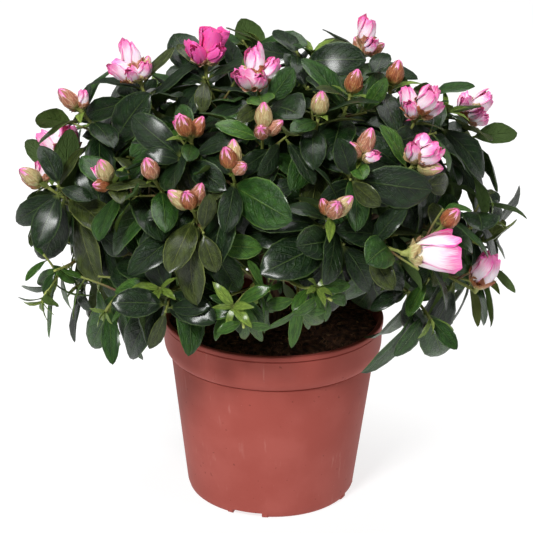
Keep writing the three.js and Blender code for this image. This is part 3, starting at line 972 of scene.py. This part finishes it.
def stood(points, way, foot):
    """Points that stand along +Z, turned to stand along a way, from a foot."""
    turn = np.array(Vector(way).to_track_quat("Z", "Y").to_matrix())
    return points @ turn.T + np.array(foot)


# %% Kinds of blossom
# kind: how many, length, width, lean of the outer ones in degrees, form
BLOSSOM = {
    "bud": dict(count=1, length=14.5, width=8.6, lean=4, form=CLOSED),
    "cluster": dict(count=3, length=15, width=8.2, lean=40, form=CLOSED),
    "opening": dict(count=5, length=20, width=10.5, lean=42, form=OPENING),
    "bloom": dict(count=1, length=28, width=21, lean=0, form=BELL),
}
ALL_PINK, PINK_BELL = {1}, (8, 18)  # pink all through, one of them open: its radius and length
FURLED, FURLED_SIZE = {20}, (7, 25)  # a large flower that has yet to unfurl: its radius and length
PEDICEL, MIDDLE_RISE = 2.6, 2.5  # a stalk's length, and what the middle one's has more
LATE, EARLY = 0.25, 0.3  # how often an opening shoot has a closed bud, and a cluster an open one
SCALE_ROWS = [(4, 0.48, 0.8), (5, 0.76, 0.56), (5, 0.97, 0.32)]  # count, height, lift
OLIVE_BELOW, COPPER_BELOW = 0.3, 0.62  # the draws that give olive or copper scales, the rest rose
STAMENS, STAMEN_LEAN = 7, math.radians(14)

petals = {"white_edged_pink": Heap(), "pink": Heap()}
scales = {"copper": Heap(), "olive": Heap(), "rose": Heap()}
stalks, stamens = Heap(), Heap()
stalk_shape = tube_shape(8, 3)
thread_shape = tube_shape(4, 5)


def ring_of(heap, blade, form, count, radius, length, way, foot, draw, start, **wrap):
    """Blades at even steps round a form, each a little off its place and its length."""
    for i in range(count):
        turn = start + math.tau * (i + 0.16 * (next(draw) - 0.5)) / count
        reach = length * (1 - form.ruffle * next(draw))
        points = wrapped(blade, form, radius, reach, turn, seed=9 * next(draw), **wrap)
        heap.add(blade, stood(points, way, foot))


def flower(form, way, foot, radius, length, pedicel, tint, draw):
    """One bud or flower on its stalk, standing from a foot along a way."""
    base = Vector(foot) + Vector(way) * pedicel
    stalk = Path(foot - way * 1.5, foot + way * 0.4, base + way * 0.8)
    stalks.add(stalk_shape, sweep(stalk_shape, stalk, swollen(0.95, 1.15 + 0.12 * radius)))
    turn = math.tau * next(draw)
    place = dict(way=way, foot=base, draw=draw)
    for count, wide, tall, offset, span, overlap in form.rings:
        ring_of(
            petals[tint], petal_blade, form, count, wide * radius, tall * length, **place,
            start=turn + offset, span=span, overlap=overlap,
        )
    if form is BELL:
        threads(way, base, 0.9 * length, draw)
    luck = next(draw)
    skin = "olive" if form is BELL or luck < OLIVE_BELOW else "copper" if luck < COPPER_BELOW else "rose"
    for index, (count, high, lift) in enumerate(SCALE_ROWS[: form.rows]):
        ring_of(
            scales[skin], scale_blade, form, count, radius, length, **place,
            start=turn + 0.5 * index, span=1.9, high=high * form.cup, lift=lift, overlap=0.16,
        )


def threads(way, base, length, draw):
    """The stamens of an open flower: threads that part towards their ends."""
    for i in range(STAMENS):
        out = leaning(Vector(way), STAMEN_LEAN, math.tau * i / STAMENS)
        reach = length * (0.8 + 0.2 * next(draw))
        path = Path(base, base + Vector(way) * reach * 0.5, base + out * reach)
        stamens.add(thread_shape, sweep(thread_shape, path, lambda share: 0.22 + 0.5 * (share > 0.93)))


# %% Blossom on the tips
BELL_CLEARINGS = ((10, 0, 15), (22, 0, 19), (22, 22, 16))  # height up the bell, way out, radius
clearings = []  # (middle, radius) of the balls outside the blossom that the leaves leave open
for mass in masses:
    for tip in mass.tips:
        if tip.kind not in BLOSSOM:
            continue
        plan, draw = BLOSSOM[tip.kind], draws(5000 + 131 * tip.index)
        turn = 360 * next(draw)
        for i in range(plan["count"]):
            angle = turn + 360 / plan["count"] * i + 30 * (next(draw) - 0.5)
            size = 1.0 if i == 0 else 0.66 + 0.34 * next(draw)
            lean = plan["lean"] * (0.3 if i == 0 else 1)
            way, form = leaning(tip.axis, math.radians(lean), math.radians(angle)), plan["form"]
            if form is BELL:
                way = (way - tip.out * (0.9 * way.dot(tip.out)) + UP * 0.35).normalized()
                for rise, out, ball in BELL_CLEARINGS:
                    clearings.append((np.array(tip.point + way * rise + tip.out * out), ball))
            elif form is OPENING and i > 0 and next(draw) < LATE:
                form, size = CLOSED, size * 0.8
            elif form is CLOSED and i > 0 and next(draw) < EARLY:
                form, size = OPENING, size * 1.05
            tint = "pink" if tip.index in ALL_PINK else "white_edged_pink"
            radius, length = size * plan["width"] / 2, size * plan["length"]
            if tip.index in ALL_PINK and i == 0:
                form, (radius, length) = BELL, PINK_BELL
            elif tip.index in FURLED:
                form, (radius, length) = OPENING, FURLED_SIZE
            pedicel = PEDICEL + (MIDDLE_RISE if i == 0 and plan["count"] > 1 else 0)
            flower(form, way, tip.point, radius, length, pedicel, tint, draw)
        ball = 12 if tip.kind == "opening" else 9
        clearings.append((np.array(tip.point + tip.axis * 10 + tip.out * 7), ball))
print("petals:", sum(len(heap.points) for heap in petals.values()), "clearings:", len(clearings))

# %% [markdown]
# ## Petal, scale and stamen finishes
# The petals are white with a cerise margin, as if each had been dipped, and fine streaks run from
# the margin towards the throat. Everything is painted through the blade's own map: across the map
# is across the petal, and up the map is along it. A scale is green at its foot, then copper, olive
# or rose, with darker streaks and a pale rim.

# %% Finishes for the blossom
def blade_map(finish):
    """Share across, share along and side (0 upper, 1 lower) of a blade, from its map."""
    place = finish.on_map()
    u, along = finish.part(place, 0), finish.part(place, 1)
    side = u.step(0.499, 0.501)
    across = abs((u - 0.25 - side * 0.5) * (1 / 0.24))
    return place, across, along, side


def streaks(finish, place, across_scale, along_scale):
    """Noise on the map, drawn out along the blade."""
    return finish.noise(place, (across_scale, along_scale, 1), 2.0)


def petal_finish(name, pale, deep, spread):
    finish = Finish(
        name, Roughness=0.5, Specular_IOR_Level=0.35, Subsurface_Weight=0.12, Subsurface_Scale=0.002
    )
    place, across, along, _ = blade_map(finish)
    streak = streaks(finish, place, 60, 3)
    margin = (across + streak * 0.5 - 0.25).step(0.94 - spread, 1.04)
    top = (along + streak * 0.7 - 0.35).step(0.78 - spread, 1.02 - 0.3 * spread)
    body = finish.mix((1 - along).step(0.6, 1.0), pale, colour(216, 222, 160))
    finish.surface(Base_Color=finish.mix(margin * 0.75 + top * 0.85, body, deep))
    return finish.bump(streak, 0.0004, 0.5)


# tint: body, margin, how far the margin spreads
PETAL_COLOURS = {
    "white_edged_pink": ("petal_white_edged", (252, 232, 240), (240, 84, 170), 0.24),
    "pink": ("petal_pink", (248, 140, 196), (240, 88, 170), 0.8),
}
CREASE = math.radians(70)  # a blade is shaded round its rim as a sharp edge


def blades_piece(heap, name, finish):
    """A piece of the foliage whose blades keep their rims sharp."""
    piece = heap.piece(name, finish, "foliage", mass_names)
    piece.data.set_sharp_from_angle(angle=CREASE)


for tint, (name, pale, deep, spread) in PETAL_COLOURS.items():
    finish = petal_finish(name, colour(*pale), colour(*deep), spread)
    blades_piece(petals[tint], "petals_" + tint, finish)


# %% Finishes for scales, stamens and stalks
def scale_finish(name, foot, body, streak, rim):
    finish = Finish(name, Roughness=0.4, Specular_IOR_Level=0.4)
    place, across, along, _ = blade_map(finish)
    fibre = streaks(finish, place, 26, 2)
    skin = finish.mix((along + fibre * 0.6 - 0.3).step(0.0, 0.7), foot, body)
    skin = finish.mix((fibre - across * 0.1 + along * 0.2).step(0.5, 0.7) * 0.8, skin, streak)
    finish.surface(Base_Color=finish.mix((across + fibre * 0.4).step(0.85, 1.2) * 0.7, skin, rim))
    return finish.bump(fibre, 0.0003, 0.7)


# tint: foot, body, streaks, rim
SCALE_COLOURS = {
    "copper": ((166, 160, 92), (182, 108, 68), (126, 68, 44), (216, 172, 128)),
    "olive": ((160, 170, 96), (206, 196, 146), (160, 128, 84), (196, 140, 100)),
    "rose": ((182, 172, 110), (200, 140, 112), (140, 80, 58), (242, 224, 204)),
}
for tint, shades in SCALE_COLOURS.items():
    finish = scale_finish("scale_" + tint, *(colour(*shade) for shade in shades))
    blades_piece(scales[tint], "scales_" + tint, finish)

thread = Finish("stamen", Roughness=0.5, Specular_IOR_Level=0.4)
end = thread.part(thread.on_map(), 1).step(0.88, 0.93)
thread.surface(Base_Color=thread.mix(end, colour(240, 190, 205), colour(120, 70, 50)))
stamens.piece("stamens", thread, "foliage", mass_names)

stalk_green = Finish("flower_stalk", Roughness=0.55, Specular_IOR_Level=0.35)
ripple = stalk_green.grain(0.0015)
stalk_green.surface(Base_Color=stalk_green.mix(ripple, colour(122, 132, 62), colour(168, 172, 96)))
stalks.piece("flower_stalks", stalk_green, "foliage", mass_names)

# %% [markdown]
# ## Leaves
# The leaves stand in whorls under each shoot's tip, the young ones upright, the old ones drooping.
# A blade bends along an arc as it leaves the twig, its two halves are slightly pillowed either side
# of the rib, and its edge waves. Real leaves never pass through each other, so each one is tested
# against everything placed before, through a search tree, and swings aside or grows smaller until
# it finds room. The largest leaves choose first. The shoots at the foot of the crown are thinly
# leaved, and their leaves hang.

# %% Bending a leaf
LEAF_COUNT, YOUNGEST, OLDEST = 7, 27, 46  # the leaves of a whorl, and their lengths
INNER_YOUNGEST, INNER_OLDEST = 26, 43  # the lengths on a side shoot
LEAF_ROOT = 0.4  # how deep a leaf starts in its twig
LEAF_WIDTH = 0.46  # as a share of its length
LEAF_TOP = 275  # no leaf stands higher than the topmost flowers
LEAF_REACH = [[-152, -132, 60], [149, 132, LEAF_TOP]]  # the box that no leaf leaves
LOW_SHOOT, LOW_COUNT = 146, 5  # below this height the shoots have fewer leaves, which hang
# the oldest leaf of a young shoot
HANGING = dict(length=36, width=0.2, droop=2.2, arch=0.35, roll=20, tint="fresh")
SWINGS, SHRINKS = (0, 15, -15, 30, -30, 50, -50), (1, 0.82, 0.68)


def leaf_points(tip_axis, plan, swing, shrink):
    """A leaf's corners, from its plan."""
    share, u, side = plan["blade"].points.T
    length, arch = plan["length"] * shrink, plan["arch"]
    way = leaning(tip_axis, math.radians(plan["pitch"]), math.radians(plan["angle"] + swing))
    way = (way - UP * plan["droop"]).normalized()
    face = tip_axis + UP * 0.5
    face = (face - way * face.dot(way)).normalized()
    face = Matrix.Rotation(math.radians(plan["roll"]), 3, way) @ face
    across = np.array(way.cross(face))
    way, face = np.array(way), np.array(face)

    half = 0.5 * plan["width"] * length * plan["blade"].outline()
    pillow = half * (0.42 * np.abs(u) - 0.32 * np.abs(u) ** 3)
    wave = 0.1 * half * np.abs(u) * np.sin(9 * share + plan["phase"])
    thick = np.interp(share, [0, 0.12, 0.25, 1], [0.6, 0.5, 0.2, 0.12])
    bend, turned = length / arch, arch * share
    off = (pillow + wave + side * thick)[:, None]
    normal = np.cos(turned)[:, None] * face + np.sin(turned)[:, None] * way
    along = (bend * np.sin(turned) - LEAF_ROOT)[:, None] * way
    drop = (bend * (1 - np.cos(turned)))[:, None] * face
    sideways = (u * half + plan["sway"] * length * share**2)[:, None] * across
    return np.array(plan["at"]) + along - drop + sideways + normal * off


# %% Plans of the leaves
def whorl(shoot, draw, count, youngest, oldest, spread=1.0, droop=0.35):
    """The plans of a shoot's leaves, from the youngest at its tip to the oldest."""
    turn = 360 * next(draw)
    for i in range(count):
        age = i / (count - 1)
        a, b, c, d, e = (next(draw) for _ in range(5))
        below = (3.5 + 1.7 * i + 8 * age**2) * spread
        grown = youngest + (oldest - youngest) * min(1, 1.6 * age)
        yield dict(
            shoot=shoot, blade=leaf_blade, age=age,
            at=shoot.path.point(max(0.05, 1 - below / shoot.path.length)),
            angle=turn + i * GOLDEN_ANGLE + 24 * (a - 0.5),
            pitch=52 + 56 * age + 22 * (b - 0.5),
            length=grown * (0.80 + 0.36 * c), droop=droop * age,
            width=LEAF_WIDTH * (0.78 + 0.4 * e),
            arch=math.radians(16 + 32 * d + 12 * age),
            roll=70 * (e - 0.5), phase=6 * a, sway=0.16 * (c - 0.5),
        )


def sprout(shoot, draw, count):
    """The narrow new leaves that stand round a shoot's tip."""
    turn = 360 * next(draw)
    for i in range(count):
        a, b, c = (next(draw) for _ in range(3))
        yield dict(
            shoot=shoot, blade=sprout_blade, age=0, at=shoot.path.point(0.985),
            angle=turn + i * GOLDEN_ANGLE, pitch=24 + 36 * a, length=10 + 10 * b, width=0.28 + 0.1 * c,
            arch=0.4 + 0.9 * c, roll=0, phase=3 * b, sway=0.0, droop=0.0, tint="sprout",
        )


TINTS = ("deep", "green", "olive", "fresh", "sprout")


def tint_of(kind, age, spray, luck):
    """A leaf's tint: that of its spray, or a lighter one where it is young."""
    if kind == "young":
        return "fresh" if luck < 0.6 else spray
    if age < 0.2:
        return "fresh" if luck < 0.25 else "olive" if luck < 0.6 else spray
    return spray


plans = []
for number, shoot in enumerate(shoots):
    tip, kind = shoot.tip, shoot.tip.kind
    low = tip.point.z < LOW_SHOOT
    chance = draws(12000 + 71 * number)
    if shoot.main:
        small = 0.66 if kind == "young" else 1
        count = LOW_COUNT if low and kind == "leafy" else LEAF_COUNT
        solids_draw = draws(1000 + 97 * tip.index)
        leaves = list(whorl(shoot, solids_draw, count, YOUNGEST * small, OLDEST * small))
        plans += sprout(shoot, chance, 2 if kind in BLOSSOM else 5)
    else:
        count, small = (4, 0.6) if kind == "young" else (2, 1) if low else (6, 1)
        sizes = (INNER_YOUNGEST * small, INNER_OLDEST * small)
        leaves = list(whorl(shoot, chance, count, *sizes, spread=0.75, droop=0.1))
    luck = next(chance)
    spray = "green" if kind == "young" or luck < 0.35 else "olive" if luck > 0.92 else "deep"
    for leaf in leaves:
        leaf["tint"] = tint_of(kind, leaf["age"], spray, next(chance))
        if kind == "young":
            leaf["width"] *= 0.7
            leaf["length"] *= 0.9
            leaf["droop"] = 0.9 * leaf["age"]
            if shoot.main and leaf["age"] > 0.8:
                leaf.update(HANGING)
        elif low:
            leaf["droop"] = 0.7 + 1.1 * leaf["age"]
            leaf["width"] *= 0.84
    plans += leaves
plans.sort(key=lambda plan: -plan["length"])
print("planned leaves:", len(plans))


# %% Finding room for each leaf
class Crowd:
    """Everything placed so far, as small search trees with a ball round each."""

    def __init__(self):
        self.balls, self.trees, self.owners = np.zeros((0, 4)), [], []

    @staticmethod
    def ball(points):
        middle = (points.min(axis=0) + points.max(axis=0)) / 2
        return np.append(middle, np.linalg.norm(points - middle, axis=1).max())

    def add(self, points, faces, owner):
        self.balls = np.vstack([self.balls, self.ball(points)])
        self.trees.append(BVHTree.FromPolygons(points.tolist(), faces))
        self.owners.append(owner)

    def touches(self, points, faces, owner):
        ball, tree = self.ball(points), None
        gaps = np.linalg.norm(self.balls[:, :3] - ball[:3], axis=1) - self.balls[:, 3] - ball[3]
        for index in np.flatnonzero(gaps < 0):
            if self.owners[index] is owner:
                continue
            tree = tree or BVHTree.FromPolygons(points.tolist(), faces)
            if tree.overlap(self.trees[index]):
                return True
        return False


def in_pot(points):
    """Whether a corner lies in the pot, its peat or its wall."""
    radius, height = np.hypot(points[:, 0], points[:, 1]), points[:, 2]
    levels = [0, POT["crease_height"] + 8, POT["height"]]
    outside = np.interp(height, levels, [POT["base"], POT["rim"], POT["rim"]])
    return bool(np.any((radius < outside + 1.2) & (height < POT["height"] + 1)))


def out_of_reach(points):
    """Whether a corner lies outside the box that no leaf leaves."""
    return bool(np.any((points < LEAF_REACH[0]) | (points > LEAF_REACH[1])))


def hides_blossom(points):
    """Whether a leaf would lie across a bud or a flower."""
    return any(np.linalg.norm(points - middle, axis=1).min() < radius for middle, radius in clearings)


crowd = Crowd()
for name, points in zip(limbs, wood.points):
    crowd.add(points, limb_shape.faces, name)
for shoot in shoots:
    crowd.add(shoot.points, twig_shape.faces, shoot)
for heaps, blade in ((petals, petal_blade), (scales, scale_blade)):
    for heap in heaps.values():
        for points in heap.points:
            crowd.add(points, blade.faces, None)

leaves = {tint: Heap() for tint in TINTS}
left_out = 0
for plan in plans:
    for swing, shrink in [(swing, shrink) for shrink in SHRINKS for swing in SWINGS]:
        points, blade = leaf_points(plan["shoot"].axis, plan, swing, shrink), plan["blade"]
        if in_pot(points) or hides_blossom(points) or out_of_reach(points):
            continue
        if not crowd.touches(points, blade.free_faces, plan["shoot"]):
            crowd.add(points, blade.free_faces, None)
            leaves[plan["tint"]].add(blade, points)
            break
    else:
        left_out += 1
print("leaves that found no room:", left_out, "of", len(plans))

# %% [markdown]
# ## Leaf finish
# An azalea leaf is leathery: dark above with a waxy gloss, a sunk rib and veins that curve towards
# the tip, and olive and dull beneath, where the rib stands proud. One function makes the finish for
# each tint. The tints are dealt out by shoot and by age, so neighbours differ as on a living plant.

# %% Leaf finishes
def leaf_finish(name, deep, bright, rib_and_lit_rim_colour, underside, roughness):
    finish = Finish(name, Specular_IOR_Level=0.2, Coat_Roughness=0.22)
    place, across, along, side = blade_map(finish)
    cloud = streaks(finish, place, 9, 5)
    net = streaks(finish, place, 80, 40)
    quilt = streaks(finish, place, 26, 15)
    rib = 1 - (across + along * 0.02).step(0.015, 0.07)
    wave = ((along - across * (0.22 + across * 0.12) + cloud * 0.05) * 46).math("SINE")
    vein = wave.step(0.8, 1.0) * across.step(0.0, 0.12) * (1 - across.step(0.7, 0.98))
    upper = finish.mix(cloud.step(0.35, 0.7), deep, bright)
    # the pale rim is partly the leaf's own pale margin and partly a painted highlight where the edge
    # catches light
    upper = finish.mix(vein * 0.14 + across.step(0.91, 1.0) * 0.6, upper, rib_and_lit_rim_colour)
    upper = finish.mix(rib * 0.55, upper, rib_and_lit_rim_colour)
    lower = finish.mix(net.step(0.3, 0.7) * 0.3 + vein * 0.4 + rib, underside, rib_and_lit_rim_colour)
    stalk = 1 - along.step(0.1, 0.2)
    body = finish.mix(side, upper, lower)
    finish.surface(
        Base_Color=finish.mix(stalk, body, colour(116, 130, 62)),
        Roughness=roughness + net * 0.14 + side * 0.25,
        Coat_Weight=0.32 - side * 0.32,
    )
    relief = net * 0.7 + quilt * 1.5 - vein * 0.9 - rib * 0.9
    return finish.bump(relief * (1 - side * 1.6), 0.0009, 0.8)


# tint: dark and light clouds above, rib and veins (also the pale rim, partly a painted highlight),
# underside, roughness
LEAF_COLOURS = {
    "deep": ((13, 29, 13), (26, 49, 19), (84, 108, 56), (84, 108, 58), 0.28),
    "green": ((28, 56, 20), (47, 82, 28), (94, 124, 54), (98, 122, 62), 0.28),
    "olive": ((40, 50, 20), (66, 78, 32), (122, 132, 66), (98, 112, 60), 0.32),
    "fresh": ((46, 82, 28), (72, 112, 38), (132, 162, 70), (126, 150, 74), 0.32),
    "sprout": ((100, 128, 46), (136, 162, 66), (176, 192, 104), (146, 166, 86), 0.38),
}
for tint, (*shades, roughness) in LEAF_COLOURS.items():
    finish = leaf_finish("leaf_" + tint, *(colour(*shade) for shade in shades), roughness)
    blades_piece(leaves[tint], "leaves_" + tint, finish)

# %% [markdown]
# ## Studio
# The plant stands on a pale sheet that glows, as a light table does, and so takes hardly a shadow.
# The glow is weaker in front, or the glossy leaves would mirror it and turn grey. A soft panel hangs
# in front and above on the left, a weak one on the right, and a wide one overhead. The camera looks
# a little down, from far enough away to keep the pot's sides upright.

# %% Floor and light
FLOOR_HALF, FLOOR_GREY = 40, 0.3
FLOOR_GLOW, FRONT_GLOW = 0.8, 0.55  # the glow, and its share in front of the plant
ROOM_LIGHT = 0.12
PANEL_AIM = Vector((0, 0, 0.15))

floor_mesh = bpy.data.meshes.new("floor")
bm = bmesh.new()
bmesh.ops.create_grid(bm, x_segments=1, y_segments=1, size=FLOOR_HALF)
bm.to_mesh(floor_mesh)
bm.free()
paper = Finish(
    "floor_paper", Base_Color=[FLOOR_GREY] * 3 + [1], Roughness=0.9, Specular_IOR_Level=0.1,
    Emission_Strength=FLOOR_GLOW,
)
reach = paper.part(paper.node("TexCoord", output=3), 1)
paper.surface(Emission_Color=paper.mix(reach.step(-0.6, 0.0), [FRONT_GLOW] * 3 + [1], (1, 1, 1, 1)))
floor_mesh.materials.append(paper.material)
floor = placed("floor", floor_mesh)
floor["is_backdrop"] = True

world = bpy.data.worlds.new("dim_room")
world.use_nodes = True
background = world.node_tree.nodes["Background"]
background.inputs["Color"].default_value = (1, 1, 1, 1)
background.inputs["Strength"].default_value = ROOM_LIGHT
bpy.context.scene.world = world


def panel(name, at, size, watts):
    """A square soft light that faces the plant."""
    light = bpy.data.lights.new(name, "AREA")
    light.size, light.energy = size, watts
    lamp = placed(name, light)
    lamp.location = at
    lamp.rotation_euler = (PANEL_AIM - Vector(at)).to_track_quat("-Z", "Y").to_euler()
    print(name, "watts:", watts)


panel("panel_front_left", (-0.5, -1.15, 1.2), 0.33, 23)
panel("panel_right", (0.9, -0.6, 0.9), 0.3, 1.5)
panel("panel_overhead", (0, 0.3, 1.6), 1.2, 22)

# %% Camera
LENS_PIXELS, FRAME_PIXELS, SENSOR = 2055, 533, 36  # focal length and frame in pixels, sensor in mm
CAMERA_AWAY, CAMERA_UP, CAMERA_ROLL = 1.2, math.radians(21.5), math.radians(0.9)
AIM = Vector((-0.0044, 0, 0.1393))

camera_data = bpy.data.cameras.new("camera")
camera_data.sensor_width = SENSOR
camera_data.lens = LENS_PIXELS * SENSOR / FRAME_PIXELS
camera = placed("camera", camera_data)
camera.location = AIM + CAMERA_AWAY * Vector((0, -math.cos(CAMERA_UP), math.sin(CAMERA_UP)))
tilt = Matrix.Rotation(math.pi / 2 - CAMERA_UP, 3, "X") @ Matrix.Rotation(CAMERA_ROLL, 3, "Z")
camera.rotation_euler = tilt.to_euler()
bpy.context.scene.camera = camera
bpy.context.scene.view_settings.view_transform = "Standard"
print("camera focal length in mm:", round(camera_data.lens, 1))

# %% [markdown]
# ## The size that must not change
# The dressed plant has to fill the solid model's own box, so both boxes are kept side by side.

# %% Measuring and finishing
LOOKS_BOX = [list(corner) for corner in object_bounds()]
print("visual box in mm:", [[round(c / MM, 1) for c in corner] for corner in LOOKS_BOX])
